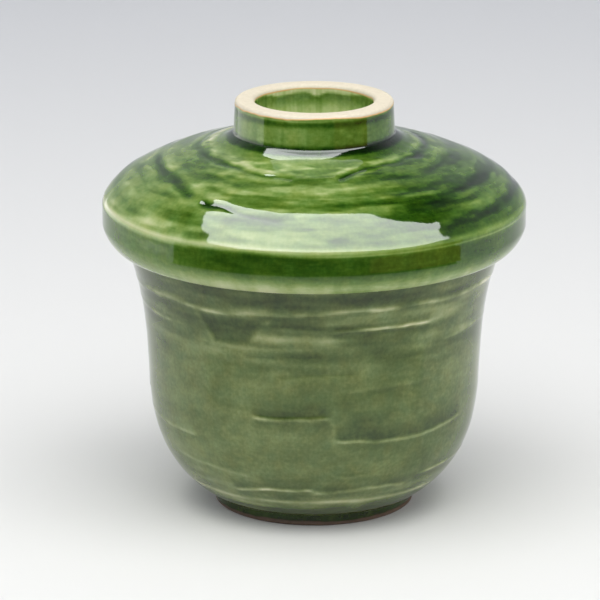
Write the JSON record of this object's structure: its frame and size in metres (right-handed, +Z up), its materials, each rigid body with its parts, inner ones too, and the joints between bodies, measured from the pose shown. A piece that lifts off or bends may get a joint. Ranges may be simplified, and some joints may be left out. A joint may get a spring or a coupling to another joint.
{
  "type": "lidded cup",
  "caption": "Small glazed stoneware steaming cup on a foot ring, with a domed lid that has a hollow ring knob and lifts straight off.",
  "frame": {"origin": "on the axis of the cup, at the surface that the foot ring stands on", "axes": "+Z up along the axis of the cup and the lid; the cup and lid are turned, so X and Y are alike"},
  "size_m": [0.09, 0.09, 0.088],
  "materials": {
    "cup_glaze": "glossy transparent grey-green glaze over pale clay, bare toasted clay on the foot ring",
    "lid_glaze": "glossy transparent deep green glaze over pale clay, bare cream clay on top of the knob ring"
  },
  "bodies": {
    "cup": {"cup": "cup_glaze"},
    "lid": {"lid": "lid_glaze"}
  },
  "joints": [
    {"name": "lid_lift", "type": "slide", "parent": "cup", "child": "lid", "axis": [0, 0, 1], "range_m": [0, 0.06]}
  ]
}
